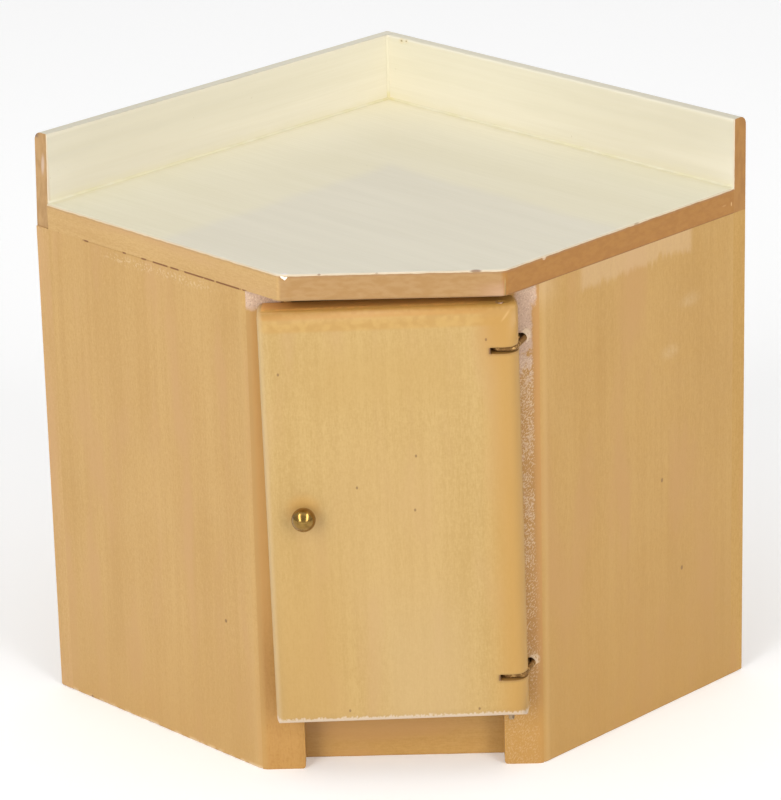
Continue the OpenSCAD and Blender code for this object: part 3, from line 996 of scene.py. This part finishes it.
def carcass_board(node, material, foot=FOOT_ROUND, foot_corner=None):
    """A board whose foot is eased and whose other edges are only just broken."""
    mesh = merged_copy(node)
    foot_z = min(vert.co.z for vert in mesh.verts) / MM
    head_z = max(vert.co.z for vert in mesh.verts) / MM
    if foot_corner is not None:
        ease(mesh, lambda p: near(p.z, foot_z) and near(p.x, foot_corner), FOOT_CORNER_ROUND, 4)
        ease(mesh, lambda p: near(p.x, foot_corner) and near(p.y, front_y), POST_EDGE_ROUND, 3, FINE_WAVER)
    ease(mesh, lambda p: near(p.z, foot_z), foot, 3, HAND_WAVER)
    ease(mesh, lambda p: near(p.z, head_z), HEAD_BREAK, 2, FINE_WAVER,
         lambda p: near(p.z, head_z) and open_seam(p))
    piece(mesh, "made_" + node, "carcass", material, [node])


carcass_board("left_side_board", left_side_finish)
carcass_board("right_side_board", right_side_finish)
carcass_board("left_post", left_post_finish, foot_corner=left_post_in)
carcass_board("right_post", right_post_finish, foot_corner=right_post_in)
carcass_board("toe_board", toe_finish)
carcass_board("floor_board", floor_finish, FLOOR_BREAK)
carcass_board("left_back_board", left_back_finish)
carcass_board("right_back_board", right_back_finish)

HOLE_RIM_R = 0.84
HOLE_RIM_T = 0.10
HOLE_RIM_FLAT = 0.6
HOLE_X = 2.9
POST_BEHIND_DOOR = 0.3


def hole_chips(hole_z):
    """Fibres torn up round a wire's hole in the post, and pressed a little flat."""

    def on_post(p):
        behind = door_back + POST_BEHIND_DOOR - p.z * HOLE_RIM_FLAT
        return in_door(HOLE_X + p.x, behind, hole_z + p.y)

    return ragged_ring(HOLE_RIM_R, HOLE_RIM_T, on_post)


for name, hole_z in (("upper_hole_chips", high_loop_z), ("lower_hole_chips", low_loop_z)):
    piece(hole_chips(hole_z), name, "carcass", right_post_finish)

# ---- worktop and upstands -------------------------------------------------------------------


def outer(point):
    """Whether a place is away from the upstands, or on the outside of the worktop."""
    return min(along_walls(point)) > upstand_t + 0.1 or max(along_walls(point)) > wall_len - 0.1


def under_edge(point):
    """Whether a place is on the worktop's lower outer edge."""
    return near(point.z, under_z) and outer(point)


TOP_EDGE_ROUND = 0.22
UNDER_EDGE_ROUND = 0.14

mesh = merged_copy("worktop")
ease(mesh, lambda p: near(p.z, top_z) and outer(p), TOP_EDGE_ROUND, 4, HAND_WAVER)
ease(mesh, under_edge, UNDER_EDGE_ROUND, 2, HAND_WAVER, lambda p: under_edge(p) and open_seam(p))
piece(mesh, "made_worktop", "carcass", worktop_paint(), ["worktop"])

LEFT_END = (colour(174, 136, 86), colour(159, 121, 71))
RIGHT_END = (colour(161, 112, 46), colour(152, 103, 38))
upstand_finishes = {
    "left_upstand": upstand_paint("painted_left_upstand", ALONG_LEFT_WALL, 1, LEFT_END, OUT_LEFT),
    "right_upstand": upstand_paint("painted_right_upstand", ALONG_RIGHT_WALL, 0, RIGHT_END, OUT_RIGHT),
}

UPSTAND_ROUND = 1.2
INNER_TOP_ROUND = 0.35
END_ROUND = 0.12
SHORT_AT_FOOT = 0.17
SHORT_PER_RISE = 0.031
END_REACH = 0.65


def at_end(point):
    """Whether a place is at an upstand's outer end. The left one is sawn a little short."""
    return near(max(along_walls(point)), wall_len, END_REACH)


def round_back_corner(mesh, radius=UPSTAND_ROUND):
    """Rounds the upstand's square corner over as far as its long edges are."""
    for level in range(1, 7):
        height = upstand_z - radius + radius * math.sin(level / 7 * QUARTER)
        bmesh.ops.bisect_plane(
            mesh, geom=mesh.verts[:] + mesh.edges[:] + mesh.faces[:],
            plane_co=(0, 0, height * MM), plane_no=(0, 0, 1),
        )
    for vert in mesh.verts:
        rise = vert.co.z / MM - upstand_z + radius
        if near(along_walls(vert.co / MM)[0], 0) and rise > 0:
            back = radius - math.sqrt(max(0.0, radius ** 2 - rise ** 2))
            vert.co += Vector((-1, -1, 0)) / DIAGONAL * back * MM


def saw_end_short(mesh):
    """Takes an upstand's end back a little, and further at its top than at its foot."""
    for vert in mesh.verts:
        if at_end(vert.co / MM):
            short = SHORT_AT_FOOT + SHORT_PER_RISE * (vert.co.z / MM - under_z)
            vert.co += Vector((1, 1, 0)) / DIAGONAL * short * MM


def along_inner_top(point, across):
    """Whether a place is on an upstand's upper inner edge, which stops short of the corner."""
    return near(point.z, upstand_z) and near(along_walls(point)[across], upstand_t)


for node, material in upstand_finishes.items():
    mesh = merged_copy(node)
    across = 1 if node == "left_upstand" else 0
    if node == "left_upstand":
        round_back_corner(mesh)
        saw_end_short(mesh)
    ease(mesh, lambda p: along_inner_top(p, across), INNER_TOP_ROUND, 3, HAND_WAVER,
         lambda p: along_inner_top(p, across) and min(along_walls(p)) > UPSTAND_ROUND + 0.1)
    ease(mesh, lambda p: at_end(p) and near(min(along_walls(p)), upstand_t), END_ROUND, 3, HAND_WAVER)
    ease(mesh, lambda p: at_end(p) and p.z > upstand_z - UPSTAND_ROUND - 0.1, END_ROUND, 2, FINE_WAVER)
    piece(mesh, "made_" + node, "carcass", material, [node])

BEAD_SIDES = 12
BEAD_ARC = 8
BEAD_SUNK = 0.1
BEAD_R = 0.36
CORNER_BEAD_R = 0.4
LEFT_BEAD_SHORT = 0.35
RIGHT_BEAD_SHORT = 0.03
CORNER_BEAD_SHORT = 0.35
CORNER_BEAD_SUNK = 0.05


def hollow(turn, radius):
    """A point of the section of a paint bead: hollow outside, its back within the boards."""
    index = round(turn * BEAD_SIDES)
    if index > BEAD_ARC:
        back = ((radius, -BEAD_SUNK), (-BEAD_SUNK, -BEAD_SUNK), (-BEAD_SUNK, radius))
        return back[index - BEAD_ARC - 1]
    arc = index / BEAD_ARC * QUARTER
    return radius - radius * math.cos(arc), radius - radius * math.sin(arc)


def bead_radius(point, radius):
    """A bead's radius, a little thicker here and thinner there."""
    return radius * (1 + 0.3 * noise.noise(point / 2.2))


def left_bead(turn, along):
    """Paint between the worktop and the left upstand."""
    u = upstand_t + along * (wall_len - upstand_t - LEFT_BEAD_SHORT)
    p, q = hollow(turn, bead_radius(Vector((u, 0, 0)), BEAD_R))
    return from_walls(u, upstand_t + p, top_z + q)


def right_bead(turn, along):
    """Paint between the worktop and the right upstand."""
    v = upstand_t + along * (wall_len - upstand_t - RIGHT_BEAD_SHORT)
    p, q = hollow(turn, bead_radius(Vector((0, v, 9)), BEAD_R))
    return from_walls(upstand_t + p, v, top_z + q)


def corner_bead(turn, along):
    """Paint between the two upstands."""
    z = top_z - CORNER_BEAD_SUNK + along * (upstand_z - top_z - CORNER_BEAD_SHORT)
    p, q = hollow(turn, bead_radius(Vector((5, 5, z)), CORNER_BEAD_R))
    return from_walls(upstand_t + p, upstand_t + q, z)


beads = joined([
    tube(BEAD_SIDES, 60, left_bead), tube(BEAD_SIDES, 60, right_bead), tube(BEAD_SIDES, 12, corner_bead),
])
piece(beads, "paint_beads", "carcass", bead_paint(), sharp=60)

DROP_PLACE = Vector((-14.5, worktop_front_y + 0.15, top_z - 0.42))
DROP_HALF = Vector((0.85, 0.2, 0.52))
DROP_TIP = 0.22
DROP_LEAN = 0.35


def hanging_drop():
    """A drop of paint, narrow below, which leans back over the worktop's edge."""
    drop = bmesh.new()
    bmesh.ops.create_icosphere(drop, subdivisions=4, radius=1)
    for vert in drop.verts:
        pinch = DROP_TIP + (1 - DROP_TIP) * (vert.co.z + 1) / 2
        lump = 1 + 0.25 * noise.noise(vert.co * 1.7)
        off = DROP_HALF * vert.co
        off.x *= pinch * lump
        off.y = off.y * lump + DROP_LEAN * max(0.0, off.z)
        vert.co = (DROP_PLACE + off) * MM
    return drop


piece(hanging_drop(), "paint_drop", "carcass", drop_paint())

# ---- door, knob and hinges ------------------------------------------------------------------

CUT_EDGE_BREAK = 0.07
CUT_WAVER = 0.05
BACK_EDGE_ROUND = 0.25


def at_cut(point):
    """Whether a place is on the rim of a saw cut, on the face of the door."""
    p = door_place(point)
    rim = min(abs(abs(p.z - low_loop_z) - cut_half), abs(abs(p.z - high_loop_z) - cut_half))
    return rim < 0.02 and p.y < 0.6


mesh = merged_copy("door")
ease(mesh, at_cut, CUT_EDGE_BREAK, 2, CUT_WAVER)
ease(mesh, lambda p: near(door_place(p).y, door_back) and door_place(p).x < 0,
     BACK_EDGE_ROUND, 3, HAND_WAVER)
piece(mesh, "made_door", "door", door_wood(), ["door"])

PIN_RIM_R = 0.5
PIN_RIM_T = 0.05
chips = ragged_ring(PIN_RIM_R, PIN_RIM_T, lambda p: in_door(p.x, p.y, door_h - PIN_RIM_T + p.z))
piece(chips, "pin_hole_chips", "door", torn_fibre())


def knob_profile():
    """Half the knob's outline, as (radius, distance out of the door): a pin with a rounded tip,
    a collar on the door, a neck and a ball."""
    ball_r = 1.7
    neck_r = 0.68
    ball_steps = 40
    ball_out = door_front - (box_mm("knob")[0].y - pin_foot.y) - ball_r
    neck_out = ball_out - math.sqrt(ball_r ** 2 - neck_r ** 2)
    pin = [(0, -3), (0.2, -2.95), (0.42, -2.6), (0.45, -2.3), (0.45, -0.02)]
    collar = [(0.8, -0.02), (0.86, 0.05), (0.8, 0.13), (0.7, 0.18)]
    ball = [(neck_r, neck_out)]
    first = math.asin(neck_r / ball_r)
    for index in range(1, ball_steps):
        arc = first + (math.pi - first) * index / ball_steps
        ball.append((ball_r * math.sin(arc), ball_out - ball_r * math.cos(arc)))
    return pin + collar + ball + [(0, ball_out + ball_r)]


def on_door_face(p):
    """A place on the knob, which is drawn upright, as it stands out of the door."""
    return in_door(knob_place.x + p.x, door_front - p.z, knob_place.z + p.y)


piece(spun(knob_profile(), 64, on_door_face), "made_knob", "door", knob_brass(), ["knob"])

PIN_END_ROUND = 0.12

steel = pin_steel()
wire = wire_brass()
for which in ("upper", "lower"):
    mesh = merged_copy(which + "_hinge_pin")
    ease(mesh, lambda p: True, PIN_END_ROUND, 3, FINE_WAVER)
    piece(mesh, f"made_{which}_pin", "door", steel, [which + "_hinge_pin"])
    mesh = merged_copy(which + "_hinge_loop")
    piece(mesh, f"made_{which}_loop", "carcass", wire, [which + "_hinge_loop"])

# ---- floor, light and camera ----------------------------------------------------------------

CAMERA_LENS = 183.5
CAMERA_PLACE = (0.00123, -0.56312, 0.25403)
CAMERA_TURN = (69.379, 1.3055, -0.2952)
ROOM_LIGHT = 0.65
PAPER_GLOW = 0.12


def studio():
    """A white table in a pale room."""
    world = bpy.data.worlds.new("pale_room")
    bpy.context.scene.world = world
    world.use_nodes = True
    background = world.node_tree.nodes["Background"]
    background.inputs[0].default_value = (1, 1, 1, 1)
    background.inputs[1].default_value = ROOM_LIGHT
    bpy.ops.mesh.primitive_plane_add(size=4, location=(0, 0, 0))
    ground = bpy.context.object
    ground.name = "ground"
    paper = bpy.data.materials.new("white_paper")
    paper.use_nodes = True
    surface = paper.node_tree.nodes["Principled BSDF"]
    surface.inputs["Base Color"].default_value = (0.95, 0.95, 0.95, 1)
    surface.inputs["Emission Color"].default_value = (1, 1, 1, 1)
    surface.inputs["Emission Strength"].default_value = PAPER_GLOW
    surface.inputs["Roughness"].default_value = 0.9
    surface.inputs["Specular IOR Level"].default_value = 0.1
    ground.data.materials.append(paper)


def softbox(name, place, aim, width, height, power, mirrored=True, lights=True):
    """A soft rectangular lamp at a place, in metres, turned to what it lights. Its picture
    shows in polished things where it is mirrored."""
    lamp = bpy.data.lights.new(name, "AREA")
    lamp.shape = "RECTANGLE"
    lamp.size = width
    lamp.size_y = height
    lamp.energy = power
    holder = bpy.data.objects.new(name, lamp)
    bpy.context.scene.collection.objects.link(holder)
    holder.location = place
    holder.rotation_euler = (Vector(aim) - Vector(place)).to_track_quat("-Z", "Y").to_euler()
    holder.visible_glossy = mirrored
    holder.visible_diffuse = lights


def camera():
    """The camera the piece is seen from. Its place is in metres and its turn in degrees."""
    lens = bpy.data.cameras.new("camera")
    lens.lens = CAMERA_LENS
    lens.sensor_width = 36
    lens.clip_start = 0.01
    lens.clip_end = 20
    holder = bpy.data.objects.new("camera", lens)
    bpy.context.scene.collection.objects.link(holder)
    holder.location = CAMERA_PLACE
    holder.rotation_euler = [math.radians(angle) for angle in CAMERA_TURN]
    bpy.context.scene.camera = holder


studio()
for name, x, power in (("left_strip", -0.60, 6.4), ("right_strip", 0.60, 5.1)):
    softbox(name, (x, -0.85, 0.42), (0, 0, 0.05), 0.40, 0.9, power, mirrored=False)
for name, x in (("left_tube", -0.60), ("right_tube", 0.60)):
    softbox(name, (x, -0.56, 0.62), (x, 0, 0), 0.34, 1.3, 9.0, lights=False)
softbox("overhead", (0, -0.1, 1.1), (0, 0, 0), 0.9, 0.9, 1.04)
camera()
bpy.context.scene.view_settings.view_transform = "Standard"
